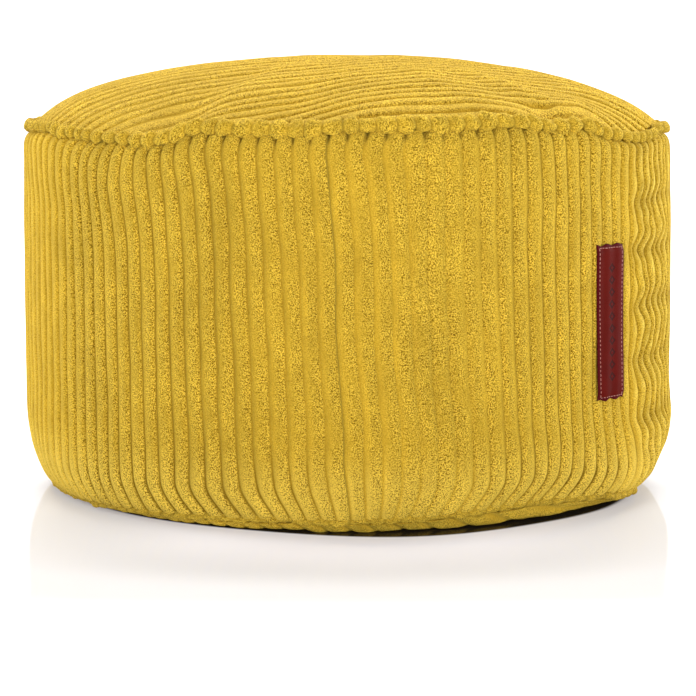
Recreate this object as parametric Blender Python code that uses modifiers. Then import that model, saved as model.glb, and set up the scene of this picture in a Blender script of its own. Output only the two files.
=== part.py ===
"""Bean bag footstool: a low round pouf of wide-wale corduroy, as its sewn pieces.

Units are metres, +Z is up, the pouf stands on z = 0 and its axis is the Z axis.
The front is -Y. Angles round the pouf run from the front, positive towards +X.

Pieces: the domed top panel, the round side band, the base panel it stands on,
a covered cord in each of the two seams, and the bare leather tab on the band.
Every round piece is a profile turned about the axis and then shaped: the seams
of a filled bag rise and fall, so each point follows them by a stated share.
"""

import math

import bmesh
import bpy

MM = 0.001

# ---------------------------------------------------------------- main sizes, mm
STEPS = 72              # segments round the pouf
GAP = 0.3               # between pieces that meet
APEX = 331.0            # highest point of the dome
SEAM_R = 242.5          # centre line of the top cord
SEAM_Z = 280.0          # its mean height
CORD_R = 5.6            # the top cord's own radius
HEM_R = 235.5           # centre line of the lower cord where the bag stands highest
HEM_Z = 13.5            # and its height there
HEM_CORD_R = 3.3        # the lower cord's own radius
FOOT_R = 206.0          # flat disc that rests on the ground
TAB_ANGLE = 49.3        # degrees from the front
TAB_WIDTH = 31.5
TAB_LOW, TAB_HIGH = 85.5, 197.5
TAB_THICK = 1.4
TAB_STANDOFF = 0.62

# Height of the top seam round the bag: (degrees from the front, mm)
SEAM_LINE = [
    (-88, 277.4), (-74, 278.4), (-66, 279.2), (-59, 277.5), (-53, 276.5),
    (-47, 275.0), (-40, 274.5), (-35, 273.2), (-31, 276.0), (-26, 282.6),
    (-17, 283.0), (-9, 282.5), (0, 285.0), (10, 285.5), (18, 286.0),
    (24, 288.0), (30, 286.8), (36, 283.3), (44, 283.4), (49, 277.2),
    (56, 273.5), (61, 272.2), (66, 273.8), (71, 276.6), (80, 276.6),
    (97, 275.6), (116, 274.8), (136, 279.0), (157, 283.0), (178, 281.0),
    (199, 276.5), (218, 279.0), (238, 280.0), (256, 277.2),
]

# The lower seam round the bag: (degrees from the front, height, radius), mm
HEM_LINE = [
    (-90, 4.6, 229.5), (-75, 4.4, 229.0), (-60, 4.8, 229.0), (-47, 5.6, 230.0),
    (-36, 7.4, 232.5), (-25, 8.8, 234.4), (-12, 9.8, 235.6), (0, 9.9, 236.0),
    (12, 10.8, 235.8), (22, 13.4, 235.6), (32, 15.2, 235.6), (42, 15.0, 235.4),
    (52, 11.4, 234.8), (60, 8.4, 234.6), (67, 6.4, 232.6), (75, 5.8, 226.0),
    (86, 5.6, 222.0), (100, 5.6, 228.0), (125, 8.5, 232.5), (150, 11.5, 234.6),
    (180, 9.0, 233.0), (215, 12.0, 235.0), (245, 7.5, 231.6),
]

# Outline of the side band: (radius, height, share of top seam, share of hem), mm
BAND_LINE = [
    (247.0, 271.8, 1.00, 0.00),
    (249.2, 259.0, 0.90, 0.00),
    (250.0, 205.0, 0.35, 0.00),
    (250.5, 140.0, 0.00, 0.00),
    (250.4, 62.0, 0.00, 0.20),
    (249.0, 40.0, 0.00, 0.50),
    (246.0, 27.5, 0.00, 0.80),
    (241.6, 18.5, 0.00, 0.97),
]

# Swellings low on the side band: (degrees, height, mm outwards, spread round in
# degrees, spread up in mm)
SIDE_MARKS = [
    (86.0, 40.0, 7.0, 18.0, 21.0),
]

# Hollows and swellings of the dome:
# (degrees, radius, height in mm, spread across, spread round)
DOME_MARKS = [
    (41.0, 222.0, -7.0, 11.0, 13.0),
    (51.0, 216.0, 3.6, 13.0, 16.0),
    (16.0, 205.0, 2.0, 24.0, 46.0),
    (-33.0, 216.0, -3.0, 15.0, 26.0),
    (150.0, 214.0, -2.5, 18.0, 40.0),
    (-120.0, 200.0, 2.0, 26.0, 45.0),
]

# ------------------------------------------------------------------- materials
YELLOW = (0.60, 0.36, 0.04, 1.0)
YELLOW_TOP = (0.64, 0.40, 0.05, 1.0)
YELLOW_CORD = (0.58, 0.34, 0.035, 1.0)
MAROON = (0.15, 0.02, 0.015, 1.0)


# --------------------------------------------------------------------- curves
def round_the_bag(line, degrees):
    """Smooth closed curve through a (degrees, mm) line."""
    pts = sorted(((d % 360.0), z) for d, z in line)
    n = len(pts)
    d = degrees % 360.0
    i = n - 1
    for k in range(n):
        if pts[k][0] <= d:
            i = k
    if d < pts[0][0]:
        i = n - 1
        d += 360.0

    def at(k):
        turn, k = divmod(k, n)
        return pts[k][0] + 360.0 * turn, pts[k][1]

    (xa, ya), (xb, yb), (xc, yc), (xd, yd) = (at(i + j) for j in (-1, 0, 1, 2))
    mb = (yc - ya) / (xc - xa)
    mc = (yd - yb) / (xd - xb)
    h = xc - xb
    t = (d - xb) / h
    return (
        (2 * t**3 - 3 * t**2 + 1) * yb
        + (t**3 - 2 * t**2 + t) * h * mb
        + (-2 * t**3 + 3 * t**2) * yc
        + (t**3 - t**2) * h * mc
    )


def seam_rise(degrees):
    return round_the_bag(SEAM_LINE, degrees) - SEAM_Z


def hem_rise(degrees):
    return round_the_bag([(d, z) for d, z, _ in HEM_LINE], degrees) - HEM_Z


def hem_out(degrees):
    return round_the_bag([(d, r) for d, _, r in HEM_LINE], degrees) - HEM_R


def crown(radius, degrees=0.0):
    """Share of the dome's height: 1 on the axis, 0 at the seam. The dome slopes
    down evenly to the front and back and keeps fuller shoulders at the sides."""
    s = min(radius / SEAM_R, 1.0)
    turn = math.radians(degrees)
    front = 1.0 - s ** (2.0 + 0.2 * (1.0 - math.cos(turn)))
    slope = 0.72 + 0.02 * math.sin(turn)
    side = 1.0 - slope * s**2.2 - (1.0 - slope) * s**10
    return front + (side - front) * math.sin(turn) ** 2


def dome_marks(x, y):
    total = 0.0
    for degrees, radius, height, across, around in DOME_MARKS:
        a = math.radians(degrees)
        ux, uy = math.sin(a), -math.cos(a)
        d_across = x * ux + y * uy - radius
        d_around = -x * uy + y * ux
        total += height * math.exp(
            -0.5 * (d_across / across) ** 2 - 0.5 * (d_around / around) ** 2
        )
    return total


def side_marks(degrees, height):
    total = 0.0
    for at, level, out, spread, tall in SIDE_MARKS:
        turn = (degrees - at + 180.0) % 360.0 - 180.0
        total += out * math.exp(
            -0.5 * (turn / spread) ** 2 - 0.5 * ((height - level) / tall) ** 2
        )
    return total


def band_radius(height):
    """Radius of the side band at a height, between its outline's points."""
    for (ra, za, _, _), (rb, zb, _, _) in zip(BAND_LINE, BAND_LINE[1:]):
        if zb <= height <= za:
            return rb + (ra - rb) * (height - zb) / (za - zb)
    return BAND_LINE[-1][0]


def groove(r0, z0, radius, angles):
    """Points of the hollow that a cord lies in, round the cord's centre."""
    return [
        (r0 + radius * math.cos(math.radians(t)), z0 + radius * math.sin(math.radians(t)))
        for t in angles
    ]


# ------------------------------------------------------------- turned pieces
def turned(name, profile, closed=False, domed=False):
    """Turns (radius, height, share of top seam, share of hem) rows about Z,
    then lets every point follow the seams. Rows run so that the faces of an
    open profile, which starts and ends on the axis, come out facing outwards."""
    bm = bmesh.new()
    verts = [bm.verts.new((r * MM, 0.0, z * MM)) for r, z, _, _ in profile]
    edges = [bm.edges.new((a, b)) for a, b in zip(verts, verts[1:])]
    if closed:
        edges.append(bm.edges.new((verts[-1], verts[0])))
    bmesh.ops.spin(
        bm,
        geom=verts + edges,
        cent=(0, 0, 0),
        axis=(0, 0, 1),
        angle=2 * math.pi,
        steps=STEPS,
        use_merge=True,
        use_duplicate=False,
    )
    bmesh.ops.remove_doubles(bm, verts=bm.verts[:], dist=0.00001)
    for v in bm.verts:
        r = math.hypot(v.co.x, v.co.y) / MM
        z = v.co.z / MM
        row = min(profile, key=lambda p: (p[0] - r) ** 2 + (p[1] - z) ** 2)
        degrees = math.degrees(math.atan2(v.co.x, -v.co.y)) if r > 0.01 else 0.0
        height = z + row[2] * seam_rise(degrees) + row[3] * hem_rise(degrees)
        radius = r + row[3] * hem_out(degrees)
        if domed and row[0] < EDGE_R and row[1] > SEAM_Z + 1.0:
            share = crown(r, degrees)
            edge = SEAM_Z + seam_rise(degrees)
            fade = min(1.0, max(0.0, (240.0 - r) / 20.0))
            height = edge + (APEX - edge) * share
            height += fade * dome_marks(v.co.x / MM, v.co.y / MM)
        if row in BAND_LINE:
            radius += side_marks(degrees, row[1])
        if r > 0.01:
            v.co.x *= radius / r
            v.co.y *= radius / r
        v.co.z = height * MM
    bmesh.ops.triangulate(bm, faces=bm.faces[:], quad_method="SHORT_EDGE")
    bmesh.ops.recalc_face_normals(bm, faces=bm.faces[:])
    mesh = bpy.data.meshes.new(name)
    bm.to_mesh(mesh)
    bm.free()
    return finish(name, mesh)


def finish(name, mesh):
    mesh.shade_smooth()
    mesh.set_sharp_from_angle(angle=math.radians(35))
    obj = bpy.data.objects.new(name, mesh)
    pouf.objects.link(obj)
    obj.parent = centre
    return obj


def paint(obj, name, colour, roughness, sheen=0.0):
    mat = bpy.data.materials.new(name)
    mat.use_nodes = True
    shader = mat.node_tree.nodes["Principled BSDF"]
    shader.inputs["Base Color"].default_value = colour
    shader.inputs["Roughness"].default_value = roughness
    shader.inputs["Metallic"].default_value = 0.0
    shader.inputs["Sheen Weight"].default_value = sheen
    obj.data.materials.append(mat)


def flat_share(radius):
    """The faces inside the bag level out towards the middle."""
    return (radius / SEAM_R) ** 4


for old in list(bpy.data.objects):
    bpy.data.objects.remove(old, do_unlink=True)

pouf = bpy.data.collections.new("bean_bag_footstool")
bpy.context.scene.collection.children.link(pouf)
centre = bpy.data.objects.new("footstool_centre", None)
pouf.objects.link(centre)

# ------------------------------------------------------------------- top panel
HALF_GAP = GAP / 2
CORD_BED = CORD_R + 1.0      # radius of the hollow round the top cord
HEM_BED = HEM_CORD_R + 0.9   # and round the lower one
EDGE_R = SEAM_R - CORD_BED   # where the panels meet inside the cord
HEM_EDGE_R = HEM_R - HEM_BED

dome = [
    (r, SEAM_Z + (APEX - SEAM_Z) * crown(r), 1.0 - crown(r), 0.0)
    for r in (0.0, 60.0, 110.0, 150.0, 182.0, 206.0, 222.0, 233.5)
]
lip = [(r, z, 1.0, 0.0) for r, z in groove(SEAM_R, SEAM_Z, CORD_BED, (134, 158))]
under = [
    (EDGE_R, SEAM_Z + HALF_GAP, 1.0, 0.0),
    (205.0, SEAM_Z + HALF_GAP, flat_share(205.0), 0.0),
    (0.0, SEAM_Z + HALF_GAP, 0.0, 0.0),
]
top_panel = turned("top_panel", dome + lip + under, domed=True)
paint(top_panel, "corduroy_top", YELLOW_TOP, 0.9, 0.4)

# ------------------------------------------------------------------- side band
lid = [
    (0.0, SEAM_Z - HALF_GAP, 0.0, 0.0),
    (205.0, SEAM_Z - HALF_GAP, flat_share(205.0), 0.0),
    (EDGE_R, SEAM_Z - HALF_GAP, 1.0, 0.0),
]
upper_bed = [(r, z, 1.0, 0.0) for r, z in groove(SEAM_R, SEAM_Z, CORD_BED, (206, 248, 290))]
lower_bed = [(r, z, 0.0, 1.0) for r, z in groove(HEM_R, HEM_Z, HEM_BED, (66, 110, 152))]
floor_side = [
    (HEM_EDGE_R, HEM_Z + HALF_GAP, 0.0, 1.0),
    (200.0, HEM_Z + HALF_GAP, 0.0, 0.4),
    (0.0, HEM_Z + HALF_GAP, 0.0, 0.0),
]
side_band = turned("side_band", lid + upper_bed + BAND_LINE + lower_bed + floor_side)
paint(side_band, "corduroy_side", YELLOW, 0.9, 0.4)

# ---------------------------------------------------------------- bottom panel
inner = [
    (0.0, HEM_Z - HALF_GAP, 0.0, 0.0),
    (200.0, HEM_Z - HALF_GAP, 0.0, 0.4),
    (HEM_EDGE_R, HEM_Z - HALF_GAP, 0.0, 1.0),
]
hem_lip = [(r, z, 0.0, 1.0) for r, z in groove(HEM_R, HEM_Z, HEM_BED, (205, 238))]
sole = [
    (229.5, 5.0, 0.0, 0.50),
    (224.0, 1.6, 0.0, 0.16),
    (FOOT_R, 0.0, 0.0, 0.0),
    (0.0, 0.0, 0.0, 0.0),
]
bottom_panel = turned("bottom_panel", inner + hem_lip + sole)
paint(bottom_panel, "corduroy_base", YELLOW, 0.92, 0.3)

# ----------------------------------------------------------------- seam cords
def ring(radius, r0, z0, top_share, hem_share):
    return [
        (r, z, top_share, hem_share)
        for r, z in groove(r0, z0, radius, [22.5 + 45.0 * k for k in range(8)])
    ]


top_piping = turned("top_piping", ring(CORD_R, SEAM_R, SEAM_Z, 1.0, 0.0), closed=True)
paint(top_piping, "corduroy_top_cord", YELLOW_CORD, 0.9, 0.4)

bottom_piping = turned(
    "bottom_piping", ring(HEM_CORD_R, HEM_R, HEM_Z, 0.0, 1.0), closed=True
)
paint(bottom_piping, "corduroy_base_cord", YELLOW_CORD, 0.9, 0.4)

# ------------------------------------------------------------------ leather tab
bm = bmesh.new()
bmesh.ops.create_grid(bm, x_segments=6, y_segments=12, size=0.5)
for v in bm.verts:
    across = v.co.x * TAB_WIDTH
    height = TAB_LOW + (v.co.y + 0.5) * (TAB_HIGH - TAB_LOW)
    radius = band_radius(height) + TAB_STANDOFF
    a = math.radians(TAB_ANGLE) + across / radius
    v.co = (radius * MM * math.sin(a), -radius * MM * math.cos(a), height * MM)
bmesh.ops.recalc_face_normals(bm, faces=bm.faces[:])
middle = bm.faces[len(bm.faces) // 2]
c = middle.calc_center_median()
if middle.normal.x * c.x + middle.normal.y * c.y < 0:
    bmesh.ops.reverse_faces(bm, faces=bm.faces[:])
tab_mesh = bpy.data.meshes.new("label")
bm.to_mesh(tab_mesh)
bm.free()
label = finish("label", tab_mesh)
skin = label.modifiers.new("thickness", "SOLIDIFY")
skin.thickness = TAB_THICK * MM
skin.offset = 1.0
paint(label, "leather_tab", MAROON, 0.6)
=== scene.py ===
"""Looks of the bean bag footstool: wales, seam cords, leather tab, pile, floor and light."""

import math

import bmesh
import bpy
import numpy as np
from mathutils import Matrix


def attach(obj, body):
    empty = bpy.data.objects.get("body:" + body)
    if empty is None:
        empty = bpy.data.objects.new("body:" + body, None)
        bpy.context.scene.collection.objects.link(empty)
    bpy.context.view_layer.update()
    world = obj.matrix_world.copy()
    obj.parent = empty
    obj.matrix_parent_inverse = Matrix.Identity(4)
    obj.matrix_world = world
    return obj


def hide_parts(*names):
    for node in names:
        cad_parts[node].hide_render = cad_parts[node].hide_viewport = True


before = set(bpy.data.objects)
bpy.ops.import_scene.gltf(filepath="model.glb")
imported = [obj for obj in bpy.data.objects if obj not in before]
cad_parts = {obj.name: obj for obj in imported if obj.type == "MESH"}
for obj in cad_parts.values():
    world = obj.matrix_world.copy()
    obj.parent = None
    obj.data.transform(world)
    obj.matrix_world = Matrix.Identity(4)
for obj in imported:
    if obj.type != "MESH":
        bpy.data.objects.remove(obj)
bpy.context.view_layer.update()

MM = 0.001
WALES = 124                      # round the side
PITCH = 360.0 / WALES            # degrees
CORD = 12.65                     # mm, one wale of the flat panels
APEX, SEAM_R, SEAM_Z = 331.0, 242.5, 280.0

SEAM_LINE = [
    (-88, 277.4), (-74, 278.4), (-66, 279.2), (-59, 277.5), (-53, 276.5),
    (-47, 275.0), (-40, 274.5), (-35, 273.2), (-31, 276.0), (-26, 282.6),
    (-17, 283.0), (-9, 282.5), (0, 285.0), (10, 285.5), (18, 286.0),
    (24, 288.0), (30, 286.8), (36, 283.3), (44, 283.4), (49, 277.2),
    (56, 273.5), (61, 272.2), (66, 273.8), (71, 276.6), (80, 276.6),
    (97, 275.6), (116, 274.8), (136, 279.0), (157, 283.0), (178, 281.0),
    (199, 276.5), (218, 279.0), (238, 280.0), (256, 277.2),
]
# The lower seam round the bag: (degrees, height, radius, how far the base lifts
# off the floor inside it, radius of the cord), mm
HEM_LINE = [
    (-90, 4.6, 229.5, 0.4, 2.2), (-75, 4.4, 229.0, 0.4, 2.2), (-60, 4.8, 229.0, 0.4, 2.3),
    (-47, 5.6, 230.0, 0.4, 2.5), (-36, 7.4, 232.5, 0.4, 2.8), (-25, 8.8, 234.4, 0.4, 3.0),
    (-12, 9.8, 235.6, 0.3, 3.2), (0, 9.9, 236.0, 0.3, 3.2), (12, 10.8, 235.8, 0.5, 3.3),
    (22, 13.4, 235.6, 0.9, 3.4), (32, 15.2, 235.6, 1.6, 3.4), (42, 15.0, 235.4, 2.0, 3.4),
    (52, 11.4, 234.8, 1.6, 3.5), (60, 8.4, 234.6, 1.2, 3.7), (67, 6.4, 232.6, 0.8, 3.5),
    (75, 5.8, 226.0, 0.6, 2.6), (86, 5.6, 222.0, 0.5, 2.2), (100, 5.6, 228.0, 0.5, 2.3),
    (125, 8.5, 232.5, 0.7, 3.0), (150, 11.5, 234.6, 1.2, 3.2), (180, 9.0, 233.0, 0.6, 3.0),
    (215, 12.0, 235.0, 1.3, 3.2), (245, 7.5, 231.6, 0.6, 2.7),
]
HEM_Z, HEM_R = 13.5, 235.5       # where the shares below are measured from
# Crest line of the side: (height, radius, share of top seam, share of hem), mm
BAND_LINE = [
    (10.5, 232.5, 0.0, 0.75), (12.5, 235.6, 0.0, 0.85), (15.0, 238.6, 0.0, 0.95),
    (18.5, 241.6, 0.0, 0.97), (22.5, 244.0, 0.0, 0.90), (27.5, 246.0, 0.0, 0.80),
    (33.0, 247.6, 0.0, 0.66), (40.0, 249.0, 0.0, 0.50), (49.0, 249.9, 0.0, 0.34),
    (60.0, 250.4, 0.0, 0.20), (78.0, 250.6, 0.0, 0.07), (105.0, 250.6, 0.0, 0.0),
    (140.0, 250.7, 0.0, 0.0), (174.0, 250.4, 0.12, 0.0), (205.0, 250.1, 0.35, 0.0),
    (235.0, 249.8, 0.68, 0.0), (252.0, 249.6, 0.86, 0.0), (261.0, 249.3, 0.93, 0.0),
    (267.0, 248.6, 0.97, 0.0), (271.5, 247.2, 1.0, 0.0), (274.3, 245.2, 1.0, 0.0),
    (276.0, 242.6, 1.0, 0.0), (277.2, 239.0, 1.0, 0.0),
]
# How far each wale of the side drifts round the bag on its way up:
# (degrees from the front, then degrees of drift at the heights below)
DRIFT_AT = (16.0, 30.0, 52.0, 78.0, 108.0, 140.0, 172.0, 200.0, 224.0, 246.0, 262.0, 276.0)
WALE_DRIFT = [
    (-100, -1.5, -1.0, 0.0, 0.4, 0.6, 0.7, 0.5, 0.6, 0.5, -0.6, -1.0, -0.8),
    (-72, -1.6, -1.3, 0.0, 0.7, 0.8, 0.9, 0.6, 1.0, 1.0, -0.6, -1.3, -1.3),
    (-64, -2.3, -2.0, -0.3, 0.5, 0.9, 0.8, 0.8, 0.6, 0.7, -0.4, -0.8, -0.7),
    (-56, -2.8, -2.2, -0.3, 0.3, 0.2, 0.4, 0.3, 0.1, 0.2, -0.7, -0.8, -0.3),
    (-48, -2.6, -1.5, -0.4, 0.0, 0.0, 0.1, -0.1, -0.3, -0.7, -1.4, -1.2, 0.2),
    (-40, -2.0, -1.1, -0.5, -0.2, -0.1, -0.2, -0.4, -0.6, -1.3, -2.3, -1.9, -1.3),
    (-32, -0.5, -0.7, -0.4, -0.4, -0.4, -0.6, -0.6, -1.0, -1.5, -2.2, -2.5, -2.5),
    (-24, 0.2, -0.3, -0.2, -0.3, -0.7, -0.8, -1.0, -1.2, -1.6, -2.3, -2.9, -2.8),
    (-16, 0.8, 0.3, -0.2, -0.5, -0.7, -1.0, -1.4, -1.5, -1.9, -2.4, -2.8, -2.7),
    (-8, 0.6, 0.3, -0.3, -0.4, -0.8, -1.0, -1.5, -1.7, -2.2, -2.5, -2.7, -2.7),
    (0, 0.4, 0.3, -0.1, -0.1, -0.7, -1.3, -1.5, -1.6, -2.1, -2.5, -2.9, -2.7),
    (8, 0.3, 0.3, 0.3, 0.2, -0.5, -1.1, -1.3, -1.5, -1.9, -2.4, -2.9, -2.1),
    (16, 0.1, 0.5, 0.6, 0.3, -0.4, -0.6, -1.2, -1.4, -1.4, -1.5, -1.7, -1.5),
    (24, 0.7, 1.0, 0.7, 0.2, -0.2, -0.6, -1.0, -1.1, -1.3, -1.4, -1.4, -1.4),
    (32, 0.0, 0.7, 0.7, -0.1, -0.4, -0.8, -1.0, -1.3, -1.2, -1.4, -1.5, -1.4),
    (40, -0.4, 0.0, 0.2, -0.3, -0.8, -1.1, -1.6, -1.5, -1.3, -1.5, -1.7, -1.6),
    (48, 1.5, 1.1, 0.0, -1.1, -1.2, -1.3, -1.6, -1.7, -1.8, -2.1, -1.9, -2.1),
    (56, 3.4, 2.2, 0.0, -1.8, -1.9, -2.0, -2.1, -2.2, -2.2, -2.4, -2.3, -1.3),
    (64, 3.8, 1.9, -1.0, -2.3, -3.1, -3.2, -3.3, -3.2, -3.1, -3.4, -3.5, -1.4),
    (72, 3.6, 2.4, 0.2, -1.9, -3.4, -3.3, -3.5, -3.1, -2.8, -3.6, -3.9, -1.8),
    (95, 2.0, 1.2, 0.4, -0.8, -1.6, -1.8, -1.6, -1.4, -1.4, -1.6, -1.8, -1.0),
    (130, 0.4, 0.2, 0.2, 0.4, 0.6, 0.4, 0.2, -0.2, -0.6, -0.9, -0.8, 0.0),
    (180, 0.2, -0.1, -0.3, -0.6, -0.9, -1.1, -1.2, -1.5, -1.8, -1.9, -1.8, -1.4),
    (225, -0.4, 0.0, 0.2, 0.3, 0.3, 0.1, -0.4, -0.8, -1.0, -1.1, -0.8, 0.0),
]
# Creases across the slack right flank: (height, degrees the wales are pushed, spread)
FLANK_CREASES = [
    (208.0, 1.60, 5.5), (190.0, -0.90, 5.5), (166.0, 1.10, 6.0), (150.0, -0.75, 5.5),
    (134.0, 1.10, 5.5), (112.0, -0.80, 6.0), (88.0, 1.35, 6.0), (70.0, -0.80, 5.5),
    (55.0, 0.80, 5.0), (228.0, -0.70, 6.0), (246.0, 0.60, 5.5),
]
# Hollows and swellings of the dome: (degrees, radius, mm, spread across, spread round)
DOME_MARKS = [
    (41.0, 222.0, -7.0, 11.0, 13.0), (51.0, 216.0, 3.6, 13.0, 16.0),
    (16.0, 205.0, 2.0, 24.0, 46.0),
    (-33.0, 216.0, -3.0, 15.0, 26.0),
    (150.0, 214.0, -2.5, 18.0, 40.0),
    (-120.0, 200.0, 2.0, 26.0, 45.0),
]
# Sideways course of the wales of the top: (place to the right, mm towards the front)
TOP_COURSE = [
    (-240, -8.0), (-200, -7.0), (-160, -5.7), (-140, -4.3), (-120, -2.1), (-100, 2.0),
    (-80, 5.0), (-60, 7.4), (-40, 7.2), (-20, 4.3), (0, 0.0), (20, -6.4), (40, -9.9),
    (60, -8.6), (80, -5.0), (100, -4.6), (120, -9.0), (140, -13.0), (160, -22.0),
    (180, -28.0), (200, -22.0), (220, -12.0), (240, -6.0),
]
# Half the thickness of the top cord round the bag: (degrees, mm)
TOP_CORD_LINE = [
    (-90, 4.3), (-70, 4.5), (-50, 5.3), (-30, 5.9), (0, 6.0), (30, 6.0), (47, 5.2),
    (62, 4.2), (75, 3.8), (90, 3.6), (115, 4.6), (150, 5.6), (190, 5.8), (230, 5.6),
    (255, 4.8),
]
TAB = dict(angle=49.3, width=31.4, low=85.5, high=197.5, thick=1.3)


# ------------------------------------------------------------------ numbers
def periodic(line, deg):
    """Smooth closed curve through (degrees, mm) rows, at an array of degrees."""
    pts = sorted((d % 360.0, z) for d, z in line)
    xs = np.array([p[0] for p in pts])
    ys = np.array([p[1] for p in pts])
    n = len(xs)
    xs3 = np.concatenate([xs - 360, xs, xs + 360])
    ys3 = np.concatenate([ys, ys, ys])
    m = np.empty(3 * n)
    m[1:-1] = (ys3[2:] - ys3[:-2]) / (xs3[2:] - xs3[:-2])
    m[0] = m[-1] = 0
    d = np.mod(deg, 360.0)
    i = np.searchsorted(xs3, d, side="right") - 1
    h = xs3[i + 1] - xs3[i]
    t = (d - xs3[i]) / h
    return (
        (2 * t**3 - 3 * t**2 + 1) * ys3[i]
        + (t**3 - 2 * t**2 + t) * h * m[i]
        + (-2 * t**3 + 3 * t**2) * ys3[i + 1]
        + (t**3 - t**2) * h * m[i + 1]
    )


def seam_rise(deg):
    return periodic(SEAM_LINE, deg) - SEAM_Z


def hem(deg, column):
    """Column of the lower seam's table (1 height, 2 radius, 3 lift, 4 cord)."""
    return periodic([(row[0], row[column]) for row in HEM_LINE], deg)


def smooth(lo, hi, x):
    t = np.clip((x - lo) / (hi - lo), 0.0, 1.0)
    return t * t * (3 - 2 * t)


_tables = {}


def noise(x, y, z=0.0, seed=0):
    """Gradient-free value noise in -1..1 on a unit lattice, for arrays."""
    if seed not in _tables:
        rng = np.random.RandomState(1000 + seed)
        _tables[seed] = (rng.permutation(256), rng.uniform(-1, 1, 256))
    perm, val = _tables[seed]
    x, y, z = np.broadcast_arrays(np.asarray(x, float), np.asarray(y, float), np.asarray(z, float))
    xi, yi, zi = (np.floor(v).astype(int) for v in (x, y, z))
    fx, fy, fz = x - xi, y - yi, z - zi
    fx, fy, fz = (f * f * f * (f * (f * 6 - 15) + 10) for f in (fx, fy, fz))
    out = np.zeros(x.shape)
    for dx in (0, 1):
        for dy in (0, 1):
            for dz in (0, 1):
                h = perm[(perm[(perm[(xi + dx) & 255] + yi + dy) & 255] + zi + dz) & 255]
                w = (fx if dx else 1 - fx) * (fy if dy else 1 - fy) * (fz if dz else 1 - fz)
                out += w * val[h]
    return out


def around(deg, scale, y, seed, radius=1.0):
    """Noise round the bag that joins up with itself."""
    a = np.radians(deg)
    k = 180.0 / math.pi / scale
    return noise(k * np.sin(a) + 50, k * np.cos(a) + 50, y, seed)


def crown(r, deg):
    """Share of the dome's height: a long slope in front, full shoulders at the sides."""
    rho = np.minimum(r / SEAM_R, 1.0)
    sideways = np.sin(np.radians(deg)) ** 2
    front = 1.0 - rho ** (2.0 + 0.2 * (1 - np.cos(np.radians(deg))))
    slope = 0.72 + 0.02 * np.sin(np.radians(deg))
    return front + sideways * (1.0 - slope * rho**2.2 - (1 - slope) * rho**10 - front)


TAU = np.array([0.0, 0.075, 0.15, 0.25, 0.42, 0.58, 0.75, 0.85, 0.925])


def ridge(tau):
    """Height across one wale, 0 in the groove and 1 on the crest."""
    t = np.abs(2 * np.mod(tau, 1.0) - 1)
    return 0.22 * (1 - t**2) + 0.78 * smooth(0.0, 0.5, 1 - t)


def turned_away(tau, deg):
    """Place across a wale, 1 at the flank turned away from the front and -1 at the other."""
    return (2 * tau - 1) * np.tanh(np.sin(np.radians(deg - 14.0)) / 0.2)


# ------------------------------------------------------------------ meshes
def grid_faces(rows, cols, wrap):
    i = np.arange(rows - 1)[:, None]
    j = np.arange(cols if wrap else cols - 1)[None, :]
    jn = (j + 1) % cols
    return np.stack(
        [i * cols + j, i * cols + jn, (i + 1) * cols + jn, (i + 1) * cols + j], axis=-1
    ).reshape(-1, 4)


def build(name, co, quads, tris=(), cloth=None, pile=None, painted_shade=None, uv=None, material=None,
          painted_light=None):
    me = bpy.data.meshes.new(name)
    co = np.asarray(co, float)
    faces = [np.asarray(quads, int).reshape(-1)]
    sizes = np.full(len(quads), 4)
    if len(tris):
        faces.append(np.asarray(tris, int).reshape(-1))
        sizes = np.concatenate([sizes, np.full(len(tris), 3)])
    loops = np.concatenate(faces)
    me.vertices.add(len(co))
    me.vertices.foreach_set("co", (co * MM).astype(np.float32).ravel())
    me.loops.add(len(loops))
    me.loops.foreach_set("vertex_index", loops.astype(np.int32))
    me.polygons.add(len(sizes))
    starts = np.concatenate([[0], np.cumsum(sizes)[:-1]])
    me.polygons.foreach_set("loop_start", starts.astype(np.int32))
    me.polygons.foreach_set("loop_total", sizes.astype(np.int32))
    me.update(calc_edges=True)
    me.polygons.foreach_set("use_smooth", np.ones(len(sizes), bool))
    for key, data in (("pile", pile), ("painted_shade", painted_shade), ("painted_light", painted_light)):
        if data is not None:
            me.attributes.new(key, "FLOAT", "POINT").data.foreach_set(
                "value", np.asarray(data, np.float32).ravel()
            )
    if cloth is not None:
        me.attributes.new("cloth", "FLOAT_VECTOR", "POINT").data.foreach_set(
            "vector", (np.asarray(cloth) * MM).astype(np.float32).ravel()
        )
    if uv is not None:
        layer = me.uv_layers.new(name="OFBake")
        layer.data.foreach_set("uv", np.asarray(uv, np.float32).ravel())
    me.validate()
    me.update()
    ob = bpy.data.objects.new(name, me)
    bpy.context.scene.collection.objects.link(ob)
    if material:
        me.materials.append(material)
    return ob


# ------------------------------------------------------------- the side band
def smooth_table(xs, ys, x):
    m = np.gradient(ys, xs)
    i = np.clip(np.searchsorted(xs, x, side="right") - 1, 0, len(xs) - 2)
    h = xs[i + 1] - xs[i]
    t = np.clip((x - xs[i]) / h, 0, 1)
    return (
        (2 * t**3 - 3 * t**2 + 1) * ys[i]
        + (t**3 - 2 * t**2 + t) * h * m[i]
        + (-2 * t**3 + 3 * t**2) * ys[i + 1]
        + (t**3 - t**2) * h * m[i + 1]
    )


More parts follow.
